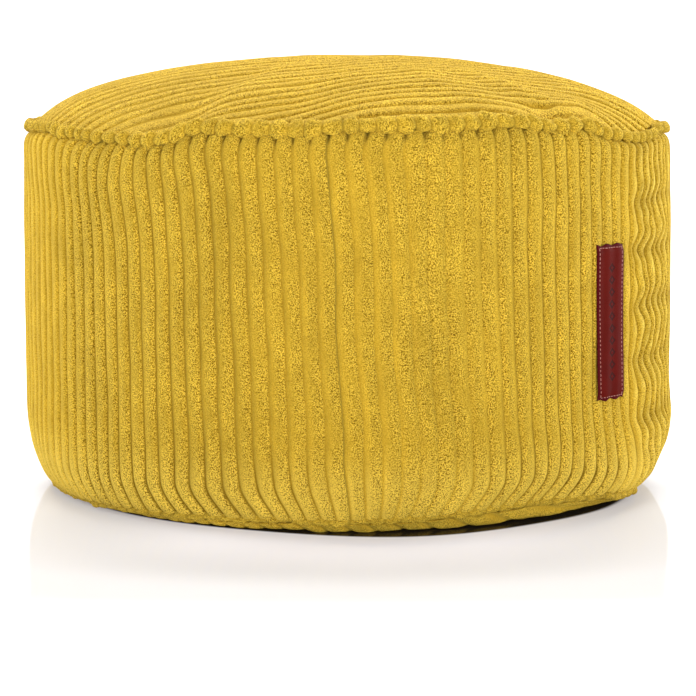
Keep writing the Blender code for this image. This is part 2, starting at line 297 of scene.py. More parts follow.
def drift(deg, z):
    table = np.array(WALE_DRIFT, float)
    cols = [
        periodic([(r[0], r[k + 1]) for r in table], deg) for k in range(len(DRIFT_AT))
    ]
    cols = np.stack(cols, axis=-1)
    xs = np.array(DRIFT_AT)
    zz = np.clip(z, xs[0], xs[-1] - 1e-6)
    i = np.clip(np.searchsorted(xs, zz, side="right") - 1, 0, len(xs) - 2)
    im, ip, ipp = np.maximum(i - 1, 0), i + 1, np.minimum(i + 2, len(xs) - 1)
    take = lambda k: np.take_along_axis(cols, k[..., None], -1)[..., 0]
    y0, y1, y2, y3 = take(im), take(i), take(ip), take(ipp)
    h = xs[ip] - xs[i]
    m1 = (y2 - y0) / np.maximum(xs[ip] - xs[im], 1)
    m2 = (y3 - y1) / np.maximum(xs[ipp] - xs[i], 1)
    t = (zz - xs[i]) / h
    return (
        (2 * t**3 - 3 * t**2 + 1) * y1
        + (t**3 - 2 * t**2 + t) * h * m1
        + (-2 * t**3 + 3 * t**2) * y2
        + (t**3 - t**2) * h * m2
    )


def crease(deg0, zn):
    """How deep in a crease of the slack flank a point lies, 0 to 1."""
    deep = 0.0
    for height, push, spread in FLANK_CREASES:
        if push < 0:
            wave = height + 5.0 * noise(deg0 / 14.0, height * 0.37, 0, 5)
            deep = deep + np.abs(push) * np.exp(-0.5 * ((zn - wave) / 4.5) ** 2)
    return np.clip(deep, 0, 1)


def side_surface(deg0, zn, tau):
    """Points of the side: deg0 is the wale's own place, zn its nominal height,
    tau the place across the wale. Returns azimuth, radius, height and ridge."""
    t = np.array(BAND_LINE)
    crest = smooth_table(t[:, 0], t[:, 1], zn)
    top, low = np.interp(zn, t[:, 0], t[:, 2]), np.interp(zn, t[:, 0], t[:, 3])
    k = np.floor((deg0 + 360.0) / PITCH + 0.5)
    deg = deg0 + drift(deg0, zn)
    # the hem draws the foot of every wale towards the front
    drawn = smooth(37, 13, zn) * (1 - smooth(80, 110, np.abs(deg0)))
    deg = deg - 1.7 * np.tanh((deg0 - 3) / 12.0) * drawn
    # small sideways wander of each wale, and of the cloth as a whole
    free = smooth(14, 40, zn) * (1 - smooth(258, 276, zn))
    deg = deg + free * (
        0.13 * noise(k * 3.7, zn / 30.0, 0, 3) + 0.12 * around(deg0, 16.0, zn / 60.0, 4)
    )
    # the right flank is slack: its wales kink where the cloth creases across
    slack = smooth(54, 64, deg0) * (1 - smooth(80, 106, deg0))
    for height, push, spread in FLANK_CREASES:
        wave = height + 5.0 * noise(deg0 / 14.0, height * 0.37, 0, 5)
        deg = deg + slack * push * np.exp(-0.5 * ((zn - wave) / spread) ** 2)
    deg = deg + free * slack * (0.42 * noise(deg0 / 4.5, zn / 15.0, 0, 15) + 0.20 * noise(k * 1.3, zn / 6.5, 0, 18))
    slack_back = 0.45 * smooth(-250, -235, deg0) * (1 - smooth(-205, -185, deg0))
    deg = deg + free * slack_back * 0.75 * noise(zn / 20.0, deg0 / 13.0, 0, 6)
    # ridge and groove
    p = ridge(tau)
    pucker = smooth(258, 274, zn) + 0.5 * (1 - smooth(16, 40, zn))
    turned = 0.45 * smooth(34, 60, np.abs(deg0)) + 0.55 * slack
    front = np.exp(-0.5 * ((deg0 - 2) / 16.0) ** 2)
    deep = (2.7 - 0.65 * front) * (1 + 0.18 * noise(k * 2.3, zn / 45.0, 0, 7)) * (1 + 0.30 * pucker + 0.35 * drawn * smooth(8, 28, np.abs(deg0 - 2)) + 0.5 * turned + 0.35 * slack)
    r = crest - deep * (1 - p)
    # each wale stands a little differently
    r = r + 0.30 * noise(k * 5.1, zn / 50.0, 0, 8) * free * p
    # swellings of the filled bag
    r = r + free * (
        0.8 * around(deg0, 22.0, zn / 85.0, 9) + 0.30 * around(deg0, 9.0, zn / 30.0, 10)
    )
    r = r + 7.3 * np.exp(-0.5 * ((deg0 - 86) / 18.0) ** 2) * smooth(12, 27, zn) * (1 - smooth(40, 94, zn))
    r = r - 1.0 * np.exp(-0.5 * ((deg0 + 88) / 25.0) ** 2) * smooth(50, 90, zn) * (1 - smooth(255, 270, zn))
    r = r - 2.2 * slack * (1 - smooth(72, 82, deg0)) * crease(deg0, zn)
    r = r + free * slack * (1 - smooth(72, 84, deg0)) * 1.1 * noise(k * 3.3, zn / 16.0, 0, 14)
    r = r + low * (hem(deg, 2) - HEM_R)
    z = zn + top * seam_rise(deg) + low * (hem(deg, 1) - HEM_Z)
    # rounded ends of the wales under the top cord
    z = z - 3.4 * (1 - p) ** 1.3 * smooth(265, 275, zn)
    # pressed in under the leather tab
    da = (deg - TAB["angle"]) * math.pi / 180 * 250
    under = (1 - smooth(13.5, 17.0, np.abs(da))) * smooth(TAB["low"] - 1, TAB["low"] + 4, z) * (
        1 - smooth(TAB["high"] - 4, TAB["high"] + 1, z)
    )
    r = r - under * (0.9 + 1.3 * p)
    return deg, r, z, p


def make_side(material):
    tau = np.tile(TAU, WALES)
    k = np.repeat(np.arange(WALES), len(TAU))
    deg0 = -0.2 + (k + tau) * PITCH
    deg0 = np.where(deg0 > 180, deg0 - 360, deg0)
    rows = np.concatenate([
        np.linspace(10.5, 16.5, 5, endpoint=False),
        np.linspace(16.5, 45.0, 13, endpoint=False),
        np.linspace(45.0, 250.0, 53, endpoint=False),
        np.linspace(250.0, 266.0, 7, endpoint=False),
        np.linspace(266.0, 277.2, 8),
    ])
    D, Z = np.meshgrid(deg0, rows)
    T = np.broadcast_to(tau, D.shape)
    deg, r, z, p = side_surface(D, Z, T)
    a = np.radians(deg)
    co = np.stack([r * np.sin(a), -r * np.cos(a), z], -1).reshape(-1, 3)
    n_r, n_c = D.shape
    quads = grid_faces(n_r, n_c, True)
    # close the solid with a disc at each end
    low, high = len(co), len(co) + 1
    co = np.vstack([co, [[0, 0, 12.5], [0, 0, 279.0]]])
    j = np.arange(n_c)
    jn = (j + 1) % n_c
    tri_low = np.stack([jn, j, np.full(n_c, low)], -1)
    tri_high = np.stack([(n_r - 1) * n_c + j, (n_r - 1) * n_c + jn, np.full(n_c, high)], -1)
    tris = np.vstack([tri_low, tri_high])
    arc = (k + tau) * PITCH * math.pi / 180 * 250
    cloth = np.stack([np.broadcast_to(arc, D.shape), Z, np.zeros_like(Z)], -1).reshape(-1, 3)
    cloth = np.vstack([cloth, [[0, 0, 0], [0, 300, 0]]])
    away = turned_away(T, deg)
    round_to = np.abs(np.mod(deg + 180, 360) - 180)
    flanks = smooth(36, 60, round_to) * (1 - 0.5 * smooth(100, 130, round_to))
    # the grainy stretch lies on the crown of the wale and the flank towards the front
    pile = (1 - 0.68 * smooth(0.0, 0.5, away)) * (1 - 0.65 * smooth(48, 62, round_to) * (1 - smooth(100, 130, round_to)))
    left = smooth(0, 20, -deg) * (1 - smooth(90, 120, round_to))
    # painted shade: darker in the grooves and on the flank of each wale turned away from the front, less where the
    # wales face the front
    facing = np.exp(-((deg - 2) / 17.0) ** 2)
    painted_shade = (0.12 - 0.06 * facing + 0.70 * flanks) * smooth(0.42, 0.0, p) + (0.22 + 0.08 * left - 0.10 * facing) * smooth(0.35 - 0.07 * left, 0.8 - 0.15 * left, away)
    # painted shade: thin dark lines along the grooves, stronger away from the front and at the foot, and dark
    # hollows under the top cord
    round_off = np.mod(deg - 12 + 180, 360) - 180
    line = 0.10 + np.where(round_off < 0, 0.10, 0.50) * smooth(6, 28, np.abs(round_off)) * (
        1 - 0.6 * smooth(100, 130, round_to)
    )
    line = line + (0.35 * smooth(4, 24, np.abs(round_off)) + 0.45 * smooth(5, 25, round_off)) * smooth(75, 35, Z) * (1 - smooth(100, 130, round_to))
    foot = smooth(48, 28, Z) * smooth(12, 34, np.abs(round_off))
    painted_shade = painted_shade + (line + 0.3 * foot) * smooth(0.24 + 0.18 * foot, 0.05 * foot, p) + 0.55 * smooth(269, 274, Z) * smooth(0.5, 0.05, p)
    # painted shade in the grooves and creases of the slack right flank
    slack = smooth(54, 64, D) * (1 - smooth(96, 120, D))
    painted_shade = painted_shade + slack * (0.60 * smooth(0.32, 0.0, T) + 0.36 * smooth(0.5, 0.0, p) + 0.32 * crease(D, Z))
    # painted highlight on the crests of the slack right flank, broken up by noise
    painted_light = slack * smooth(0.38, 0.52, T) * (1 - smooth(0.62, 0.8, T)) * np.clip(
        0.62 + 0.85 * noise(deg / 1.7, Z / 4.8, 0, 17), 0, 1
    )
    pile = np.maximum(pile, 0.75 * slack)
    # painted light: the side is made lighter along its foot
    painted_light = np.maximum(painted_light, 0.42 * smooth(66, 30, Z) * (1 - smooth(100, 130, round_to)) * smooth(0.1, 0.4, p))
    pile = np.concatenate([pile.ravel(), [0, 0]])
    painted_light = np.concatenate([painted_light.ravel(), [0, 0]])
    painted_shade = np.concatenate([np.clip(painted_shade, 0, 0.9).ravel(), [0, 0]])
    # two strips, one above the other, each half the way round
    q = quads.reshape(-1, 4)
    ci = (q % n_c).astype(float)
    ri = (q // n_c).astype(float)
    wrapped = (ci.max(1) - ci.min(1)) > n_c / 2
    ci[wrapped] = np.where(ci[wrapped] == 0, n_c, ci[wrapped])
    half = n_c / 2
    strip = (ci.min(1) >= half).astype(float)[:, None]
    u = 0.01 + 0.98 * (ci - strip * half) / half
    v = 0.01 + 0.40 * (rows[np.minimum(ri, n_r - 1).astype(int)] - 10.5) / 266.7 + 0.42 * strip
    uv = np.stack([u, v], -1).reshape(-1, 2)
    # the hidden discs share the narrow space that is left
    t_uv = []
    for tri, cx in ((tri_low, 0.1), (tri_high, 0.3)):
        ang = 2 * math.pi * np.arange(n_c) / n_c
        e = lambda t: np.stack([cx + 0.06 * np.cos(t), 0.92 + 0.06 * np.sin(t)], -1)
        p1, p2 = e(ang), e(ang + 2 * math.pi / n_c)
        first, second = (p2, p1) if cx == 0.1 else (p1, p2)
        t_uv.append(np.stack([first, second, np.broadcast_to([cx, 0.92], p1.shape)], 1))
    uv = np.vstack([uv, np.concatenate(t_uv).reshape(-1, 2)])
    return build("side_cloth", co, quads, tris, cloth, pile, painted_shade, uv, material, painted_light)


# ---------------------------------------------------------- top and base panels
def dome_height(x, y):
    r = np.hypot(x, y)
    deg = np.degrees(np.arctan2(x, -y))
    c = crown(r, deg)
    edge = periodic(SEAM_LINE, deg)
    z = edge + (APEX - edge) * c
    fade = smooth(0.0, 14.0, 240.0 - r)
    for d, rad, h, across, rnd in DOME_MARKS:
        a = math.radians(d)
        ux, uy = math.sin(a), -math.cos(a)
        da = x * ux + y * uy - rad
        dr = -x * uy + y * ux
        z = z + fade * h * np.exp(-0.5 * (da / across) ** 2 - 0.5 * (dr / rnd) ** 2)
    # soft unevenness of the filling
    z = z + fade * (0.9 * noise(x / 70.0, y / 70.0, 0, 21) + 0.5 * noise(x / 28.0, y / 28.0, 0, 22))
    return z


def base_height(x, y):
    r = np.hypot(x, y)
    deg = np.degrees(np.arctan2(x, -y))
    lift, rim = hem(deg, 3), hem(deg, 1) - 0.9 * hem(deg, 4)
    s = r * HEM_R / hem(deg, 2)
    off = smooth(190, 208, s)
    up = smooth(224, 236, s)
    flat = 0.25 + 0.25 * noise(x / 30.0, y / 30.0, 0, 31) * (1 - off)
    ruck = 0.8 * noise(x / 17.0, y / 17.0, 0, 32) * off * (1 - up)
    return np.maximum(0.0, flat) * (1 - up) + ruck + off * lift * (1 - up) + up * rim


def top_course(v, w, b):
    """How far the wales of the top stray towards the front."""
    t = np.array(TOP_COURSE, float)
    x = v * math.sin(b) + w * math.cos(b)
    s = smooth_table(t[:, 0], t[:, 1], x) * (1 - smooth(200, 238, np.abs(v)))
    s = s * (1 - 0.5 * smooth(0, 120, -v))
    # two wide wales in the hollow at the left front
    q = (v - 134.0) / 13.0
    return s + 3.6 * q * np.exp(-0.5 * q**2) * np.exp(-0.5 * ((w + 150) / 44.0) ** 2)


def base_course(v, w, b):
    return 0.0 * v * w


def panel(radius, turn, pitch, course, height, down, deep, cols, phase, warp, edge, seed):
    """A round panel whose wales run side by side, meshed in rows along them.
    turn is the direction, from the front, that the wales lie across."""
    b = math.radians(turn)
    n = np.array([math.sin(b), -math.cos(b)])
    d = np.array([math.cos(b), math.sin(b)])
    count = int(2 * radius / pitch) + 2
    v = ((np.arange(-count // 2 - 1, count // 2 + 2)[:, None] + TAU[None, :]) * pitch + phase).ravel()
    tau = np.tile(TAU, len(v) // len(TAU))
    lim = radius - 0.35
    keep = np.abs(v) < lim
    v, tau = v[keep], tau[keep]
    v = np.concatenate([[-lim], v, [lim]])
    tau = np.concatenate([[((-lim - phase) / pitch) % 1.0], tau, [((lim - phase) / pitch) % 1.0]])
    # where each wale meets the seam
    ends = []
    for sign in (-1.0, 1.0):
        w = sign * np.sqrt(radius**2 - v**2)
        for _ in range(40):
            at = v + course(v, w, b)
            w = 0.5 * w + 0.5 * sign * np.sqrt(np.maximum(radius**2 - at**2, 1.0))
        ends.append(w)
    u = np.sin(np.linspace(-1, 1, cols) * math.pi / 2)
    u = 0.5 + 0.5 * (0.72 * u + 0.28 * np.linspace(-1, 1, cols))
    V = np.broadcast_to(v[:, None], (len(v), cols))
    W = ends[0][:, None] * (1 - u) + ends[1][:, None] * u
    C = V + course(V, W, b)
    x = C * n[0] + W * d[0]
    y = C * n[1] + W * d[1]
    r = np.hypot(x, y)
    # the wales wander a little, and not at the seam
    loose = 1 - smooth(radius - 26, radius - 3, r)
    k = np.floor((V - phase) / pitch)
    pinch = (down > 0) * np.exp(-0.5 * ((x - 147.0) ** 2 + (y + 150.0) ** 2) / 24.0**2)
    shift = loose * (
        warp * noise(x / 85.0, y / 85.0, 0, seed) + 0.40 * noise(k * 2.9, W / 40.0, 0, seed + 1)
        + 3.4 * pinch * noise(x / 12.0, y / 12.0, 0, seed + 4)
    )
    x = x + n[0] * shift
    y = y + n[1] * shift
    # the panel's own outline
    r = np.hypot(x, y)
    deg = np.degrees(np.arctan2(x, -y))
    fit = 1 + (edge(deg) / radius - 1) * np.minimum(r / radius, 1.0) ** 6
    x, y = x * fit, y * fit
    z = height(x, y)
    e = 1.0
    zx = (height(x + e, y) - height(x - e, y)) / (2 * e)
    zy = (height(x, y + e) - height(x, y - e)) / (2 * e)
    nz = 1 / np.sqrt(1 + zx**2 + zy**2)
    T = np.broadcast_to(tau[:, None], V.shape)
    p = ridge(T)
    rim = smooth(radius - 14, radius, r)
    depth = deep * (1 + 0.2 * noise(k * 1.7, W / 45.0, 0, seed + 2)) * (1 + 0.2 * rim)
    calm = (down > 0) * smooth(20.0, -150.0, x)
    depth = depth * (1 - 0.58 * calm)
    cut = depth * (1 - p) * down - 0.3 * noise(k * 4.1, W / 55.0, 0, seed + 3) * p * loose * down
    co = np.stack([x + zx * nz * cut, y + zy * nz * cut, z - nz * cut], -1)
    n_r, n_c = V.shape
    co = co.reshape(-1, 3)
    quads = grid_faces(n_r, n_c, False)
    if down > 0:
        quads = quads[:, ::-1]
    # the edge of the grid, as one closed loop
    top_row = np.arange(n_c)
    right = np.arange(1, n_r) * n_c + n_c - 1
    low_row = (n_r - 1) * n_c + np.arange(n_c - 2, -1, -1)
    left = np.arange(n_r - 2, 0, -1) * n_c
    loop = np.concatenate([top_row, right, low_row, left])
    return dict(
        co=co, quads=quads, loop=loop, pile=(0.95 - 0.65 * smooth(0.3, 0.9, 1 - p)).ravel(),
        # painted shade: the flank of each wale facing the front, the grooves, and the left part of the top are
        # darkened
        painted_shade=((0.17 - 0.03 * calm) * smooth(-0.2, 0.8, 2 * T - 1) + (0.24 - 0.10 * calm) * smooth(0.35, 0.0, p) + 0.085 * calm).ravel(),
        cloth=np.stack([V, W, np.full_like(V, 400.0 + seed * 10)], -1).reshape(-1, 3),
        xy=np.stack([x, y], -1).reshape(-1, 2), radius=radius, down=down,
    )


def closed_panel(name, g, inner, inner_z, mid_z, material):
    """Adds the turned-in edge and the hidden face that close a panel."""
    co, loop = g["co"], g["loop"]
    ring = co[loop].copy()
    deg = np.degrees(np.arctan2(ring[:, 0], -ring[:, 1]))
    back = inner(deg) / np.hypot(ring[:, 0], ring[:, 1])
    turned = np.stack([ring[:, 0] * back, ring[:, 1] * back, inner_z(deg)], -1)
    n0, m = len(co), len(loop)
    centre = n0 + m
    co = np.vstack([co, turned, [[0, 0, mid_z]]])
    j = np.arange(m)
    jn = (j + 1) % m
    wall = np.stack([loop[j], loop[jn], n0 + jn, n0 + j], -1)
    fan = np.stack([n0 + j, n0 + jn, np.full(m, centre)], -1)
    if g["down"] < 0:
        wall, fan = wall[:, ::-1], fan[:, ::-1]
    flip = _points_in(co, g["quads"], g["down"])
    quads = g["quads"][:, ::-1] if flip else g["quads"]
    quads = np.vstack([quads, wall])
    add = lambda a, fill: np.concatenate([a, np.full(m + 1, fill)])
    cloth = np.vstack([g["cloth"], g["cloth"][loop], [[0, 0, 0]]])
    uvp = np.vstack([g["xy"], g["xy"][loop] * 1.004, [[0, 0]]])
    R = g["radius"] * 1.01
    uv_q = 0.36 + uvp[quads[: len(g["quads"])]] / R * 0.352
    # turned-in edge: a thin strip; hidden face: a small disc in the corner
    s = np.linspace(0, 1, m + 1)
    wall_uv = np.stack([
        np.stack([0.02 + 0.9 * s[:-1], np.full(m, 0.76)], -1),
        np.stack([0.02 + 0.9 * s[1:], np.full(m, 0.76)], -1),
        np.stack([0.02 + 0.9 * s[1:], np.full(m, 0.775)], -1),
        np.stack([0.02 + 0.9 * s[:-1], np.full(m, 0.775)], -1)], 1)
    if g["down"] < 0:
        wall_uv = wall_uv[:, ::-1]
    pos = np.vstack([co[:, :2]])
    fan_uv = np.array([0.88, 0.12]) + pos[fan] / g["radius"] * 0.1
    uv = np.vstack([uv_q.reshape(-1, 2), wall_uv.reshape(-1, 2), fan_uv.reshape(-1, 2)])
    # the turned-in edge and hidden face get a fixed pile and a fixed amount of painted shade
    return build(
        name, co, quads, fan, cloth, add(g["pile"], 0.3), add(g["painted_shade"], 0.3), uv, material
    )


def _points_in(co, quads, down):
    q = quads[len(quads) // 2]
    a, b, c = co[q[0]], co[q[1]], co[q[2]]
    nz = np.cross(b - a, c - a)[2]
    return nz * down < 0


# ------------------------------------------------------------------ seam cords
def bead_ring(name, count, phase, centre_r, line, radius, flatten, beads, skew, jitter, crush, ragged,
              seg, around_n, material, seed):
    """A covered cord: every wale turned over it is one knuckle, pinched at its ends.
    centre_r, line and radius give the cord's place and thickness at an azimuth."""
    rng = np.random.RandomState(seed)
    sig = np.tile(np.linspace(0, 1, seg, endpoint=False), count)
    k = np.repeat(np.arange(count), seg)
    th = np.linspace(-math.pi, math.pi, around_n, endpoint=False)
    S, TH = np.meshgrid(sig, th, indexing="ij")
    K = np.broadcast_to(k[:, None], S.shape)
    size = 1 + 0.07 * rng.randn(count)
    out = jitter[0] * rng.randn(count)
    up = jitter[1] * rng.randn(count)
    lean = skew * rng.uniform(0.3, 1.6, count)
    place = 0.16 * rng.randn(count)

    def each(values, s, kk):
        """Value of this bead, eased into its neighbours near its ends."""
        w = 0.5 * smooth(0.6, 1.0, s)
        w0 = 0.5 * (1 - smooth(0.0, 0.4, s))
        return values[kk] * (1 - w - w0) + values[(kk + 1) % count] * w + values[(kk - 1) % count] * w0

    away = smooth(26, 46, np.abs(np.mod(phase + (K + 0.5) * 360.0 / count + 180, 360) - 180))
    p = np.clip(1 - np.abs(2 * S - 1) ** 2.0, 0, 1) ** (0.68 + 0.52 * away)
    worn = np.exp(-((np.mod(phase + (K + 0.5) * 360.0 / count + 15 + 180, 360) - 180) / 17.0) ** 2)
    beads = (beads[0] * (1 - away) + beads[1] * away) * (1 - 0.12 * worn)
    sz, o, u = each(size, S, K), each(out, S, K), each(up, S, K)
    deg = phase + (K + S + each(place, S, K)) * 360.0 / count
    side_of = np.tanh(np.where(deg > 180, deg - 360, deg) / 14.0)
    # the pinches curve round like the edges of scales, away from the front
    turn = np.cos(TH) ** 2 * (np.cos(TH) > 0) - 0.7 * np.sin(TH + 0.4)
    deg = deg + each(lean, S, K) * side_of * turn * (1 - 0.85 * smooth(40, 62, np.abs(np.mod(deg + 180, 360) - 180)))
    rho = sz * (1 - beads * (1 - p))
    tuft = lambda f, sd: noise((K + S) * f + 30, np.cos(TH) * f * 0.5 + 30, np.sin(TH) * f * 0.5 + 30, sd)
    wob = 1 + ragged * (1 - 0.6 * away) * (tuft(2.6, seed % 97) + 0.6 * tuft(6.0, seed % 91))
    size_at = radius(deg)
    loose = np.minimum(1.0, (size_at / 3.3) ** 2)
    o, u, crush = o * loose, u * loose, crush * loose
    rr = centre_r(deg) + o + crush * around(deg, 9.0, 0.3, seed % 89) + flatten[0] * size_at * rho * wob * np.cos(TH)
    zz = line(deg) + u + crush * around(deg, 6.0, 7.3, seed % 83) + flatten[1] * size_at * rho * wob * np.sin(TH)
    a = np.radians(deg)
    co = np.stack([rr * np.sin(a), -rr * np.cos(a), zz], -1)
    n_r, n_c = S.shape
    i = np.arange(n_r)[:, None]
    j = np.arange(n_c)[None, :]
    inx, jn = (i + 1) % n_r, (j + 1) % n_c
    quads = np.stack([i * n_c + j, inx * n_c + j, inx * n_c + jn, i * n_c + jn], -1).reshape(-1, 4)
    cloth = np.stack([(K + S) * CORD, TH * 6.0, np.full_like(S, 700.0 + seed)], -1).reshape(-1, 3)
    # four strips
    strips = 4
    per = n_r // strips
    qi = np.broadcast_to(i, (n_r, n_c)).reshape(-1)
    qj = np.broadcast_to(j, (n_r, n_c)).reshape(-1)
    st = np.minimum(qi // per, strips - 1)
    u0 = (qi - st * per) / (n_r - (strips - 1) * per)
    u1 = (qi + 1 - st * per) / (n_r - (strips - 1) * per)
    v0 = (qj / n_c) * 0.235 + st * 0.25 + 0.007
    v1 = ((qj + 1) / n_c) * 0.235 + st * 0.25 + 0.007
    u0, u1 = 0.005 + 0.99 * u0, 0.005 + 0.99 * u1
    uv = np.stack([np.stack([u0, v0], -1), np.stack([u1, v0], -1), np.stack([u1, v1], -1), np.stack([u0, v1], -1)], 1).reshape(-1, 2)
    co = co.reshape(-1, 3)
    # painted shade in the pinches between the knuckles, more away from the front and less at the worn front
    return build(name, co, quads, (), cloth, 0.4 + 0.6 * p.ravel(), ((0.55 + 0.20 * away - 0.25 * worn) * smooth(0.45, 0.0, p)).ravel(), uv, material)


# ------------------------------------------------------------------ leather tab
def tab_place(s, h):
    """Azimuth of a point of the tab, s across in mm and h its height."""
    f = (h - TAB["low"]) / (TAB["high"] - TAB["low"])
    bow = -0.40 * np.clip(1 - ((f - 0.68) / 0.62) ** 2, 0, 1) * (0.65 - 0.35 * s / 15.7)
    lean = 0.45 * (0.5 - f)
    return TAB["angle"] + s / 251.0 * 180 / math.pi + bow + lean


def tab_radius(deg, s, h):
    f = (h - TAB["low"]) / (TAB["high"] - TAB["low"])
    r = 250.55 + 0.28 * np.cos((deg + 0.2) / PITCH * 2 * math.pi + 2.6) + 0.25 * noise(s / 14, h / 26, 0, 41)
    ends = smooth(0.05, 0.0, f) + smooth(0.95, 1.0, f)
    edge = smooth(12.5, 15.7, np.abs(s))
    return r - 1.1 * ends - 0.45 * edge


def make_tab(material, thread):
    nx, nz = 20, 64
    s = np.linspace(-1, 1, nx + 1)
    s = np.sign(s) * np.abs(s) ** 0.85 * TAB["width"] / 2
    h = np.linspace(0, 1, nz + 1)
    h = TAB["low"] + (TAB["high"] - TAB["low"]) * (0.5 - 0.5 * np.cos(math.pi * h) * 0.25 + (h - 0.5) * 0.75 / 1.0)
    h = TAB["low"] + (TAB["high"] - TAB["low"]) * (h - h.min()) / (h.max() - h.min())
    S, H = np.meshgrid(s, h)
    cut = 0.25 * noise(S / 9, H / 9, 0, 42)
    deg = tab_place(S, H)
    a = np.radians(deg)
    r0 = tab_radius(deg, S, H)
    layers = []
    half = TAB["width"] / 2
    end = smooth(0.94, 1.0, (H - TAB["low"]) / (TAB["high"] - TAB["low"])) - smooth(0.06, 0.0, (H - TAB["low"]) / (TAB["high"] - TAB["low"]))
    H = H + end * 0.75 * np.cos((deg + 0.2) / PITCH * 2 * math.pi + 2.6)
    for r, shrink in ((r0, 0.0), (r0 + 0.35, 0.0), (r0 + 0.95, 0.0), (r0 + TAB["thick"], 0.45)):
        f = 1 - shrink / half
        hh = (TAB["low"] + TAB["high"]) / 2 + (H - (TAB["low"] + TAB["high"]) / 2) * (1 - shrink / 56.0)
        dd = tab_place(S * f, hh)
        aa = np.radians(dd)
        layers.append(np.stack([r * np.sin(aa), -r * np.cos(aa), hh + 0.0 * cut], -1))
    n_r, n_c = S.shape
    co, quads = [], []
    m = n_r * n_c
    # back, then front
    back = grid_faces(n_r, n_c, False)
    co = np.concatenate([layers[0].reshape(-1, 3), layers[3].reshape(-1, 3)])
    quads = [back[:, ::-1], back + m]
    row0 = np.arange(n_c)
    right = np.arange(1, n_r) * n_c + n_c - 1
    row1 = (n_r - 1) * n_c + np.arange(n_c - 2, -1, -1)
    left = np.arange(n_r - 2, 0, -1) * n_c
    loop = np.concatenate([row0, right, row1, left])
    L = len(loop)
    mid1 = layers[1].reshape(-1, 3)[loop]
    mid2 = layers[2].reshape(-1, 3)[loop]
    n0 = len(co)
    co = np.concatenate([co, mid1, mid2])
    j = np.arange(L)
    jn = (j + 1) % L
    quads += [
        np.stack([loop[j], loop[jn], n0 + jn, n0 + j], -1),
        np.stack([n0 + j, n0 + jn, n0 + L + jn, n0 + L + j], -1),
        np.stack([n0 + L + j, n0 + L + jn, m + loop[jn], m + loop[j]], -1),
    ]
    quads = np.vstack(quads)
    cl = np.stack([S, H - TAB["low"], np.full_like(S, 900.0)], -1).reshape(-1, 3)
    cloth = np.concatenate([cl, cl, cl[loop], cl[loop]])
    # front on the left, back on the right, the cut edge along the top
    U = (S + half) / TAB["width"]
    V = (H - TAB["low"]) / (TAB["high"] - TAB["low"])
    g = np.stack([U, V], -1).reshape(-1, 2)
    f1 = g[back[:, ::-1]] * [0.24, 0.86] + [0.52, 0.02]
    f2 = g[back] * [0.24, 0.86] + [0.02, 0.02]
    st = np.linspace(0, 1, L + 1)
    bands = []
    for b in range(3):
        y0, y1 = 0.90 + 0.03 * b, 0.925 + 0.03 * b
        bands.append(np.stack([
            np.stack([0.02 + 0.96 * st[:-1], np.full(L, y0)], -1),
            np.stack([0.02 + 0.96 * st[1:], np.full(L, y0)], -1),
            np.stack([0.02 + 0.96 * st[1:], np.full(L, y1)], -1),
            np.stack([0.02 + 0.96 * st[:-1], np.full(L, y1)], -1)], 1))
    uv = np.concatenate([f1, f2, *bands]).reshape(-1, 2)
    tab = build("leather_tab", co, quads, (), cloth, None, None, uv, material)

    # stitches: one small worm each, a run along every side
    rng = np.random.RandomState(77)
    inset, step = 1.9, 3.1
    w, lo, hi = half - inset, TAB["low"] + inset + 0.3, TAB["high"] - inset - 0.3
    runs = []
    for x in (-w, w - 1.5):
        for c in np.arange(lo + 1.2, hi - 0.6, step):
            runs.append((x, c, 0, 1))
    for y in (lo, hi):
        for c in np.arange(-w + 1.6, w - 0.8, step):
            runs.append((c, y, 1, 0))
    verts, faces, uvs = [], [], []
    ns, nr = 9, 8
    cols = int(math.ceil(math.sqrt(len(runs))))
    for q, (cx, cy, dx, dy) in enumerate(runs):
        ln = 2.0 + 0.25 * rng.randn()
        off = 0.06 * rng.randn()
        base = len(verts)
        for i in range(ns):
            f = i / (ns - 1) * 2 - 1
            s_, h_ = cx + dx * f * ln / 2 + dy * off, cy + dy * f * ln / 2 + dx * off
            d_ = float(tab_place(np.array(s_), np.array(h_)))
            r_ = float(tab_radius(np.array(d_), np.array(s_), np.array(h_))) + TAB["thick"]
            lift = 0.16 * math.cos(f * math.pi / 2) - 0.22 * abs(f) ** 6
            fat = 0.24 * math.sqrt(max(0.02, 1 - abs(f) ** 4.0))
            for j in range(nr):
                t = 2 * math.pi * j / nr
                o_side, o_out = fat * math.cos(t), fat * math.sin(t) + lift
                ss = s_ + dy * o_side
                hh = h_ + dx * o_side
                aa = math.radians(float(tab_place(np.array(ss), np.array(hh))))
                rr = r_ + o_out
                verts.append((rr * math.sin(aa), -rr * math.cos(aa), hh))
        gx, gy = (q % cols) / cols, (q // cols) / cols
        cell = 0.9 / cols
        for i in range(ns - 1):
            for j in range(nr):
                jn_ = (j + 1) % nr
                f_ = (base + i * nr + j, base + (i + 1) * nr + j, base + (i + 1) * nr + jn_, base + i * nr + jn_)
                flipped = dy > 0
                uvq = [(gx + cell * i / ns, gy + cell * j / nr), (gx + cell * (i + 1) / ns, gy + cell * j / nr),
                       (gx + cell * (i + 1) / ns, gy + cell * (j + 1) / nr), (gx + cell * i / ns, gy + cell * (j + 1) / nr)]
                if flipped:
                    f_, uvq = f_[::-1], uvq[::-1]
                faces.append(f_)
                uvs += uvq
    me = bpy.data.meshes.new("tab_stitches")
    me.from_pydata([tuple(c * MM for c in v) for v in verts], [], faces)
    bm = bmesh.new()
    bm.from_mesh(me)
    bmesh.ops.holes_fill(bm, edges=[e for e in bm.edges if e.is_boundary], sides=nr)
    bmesh.ops.recalc_face_normals(bm, faces=bm.faces[:])
    bm.to_mesh(me)
    bm.free()
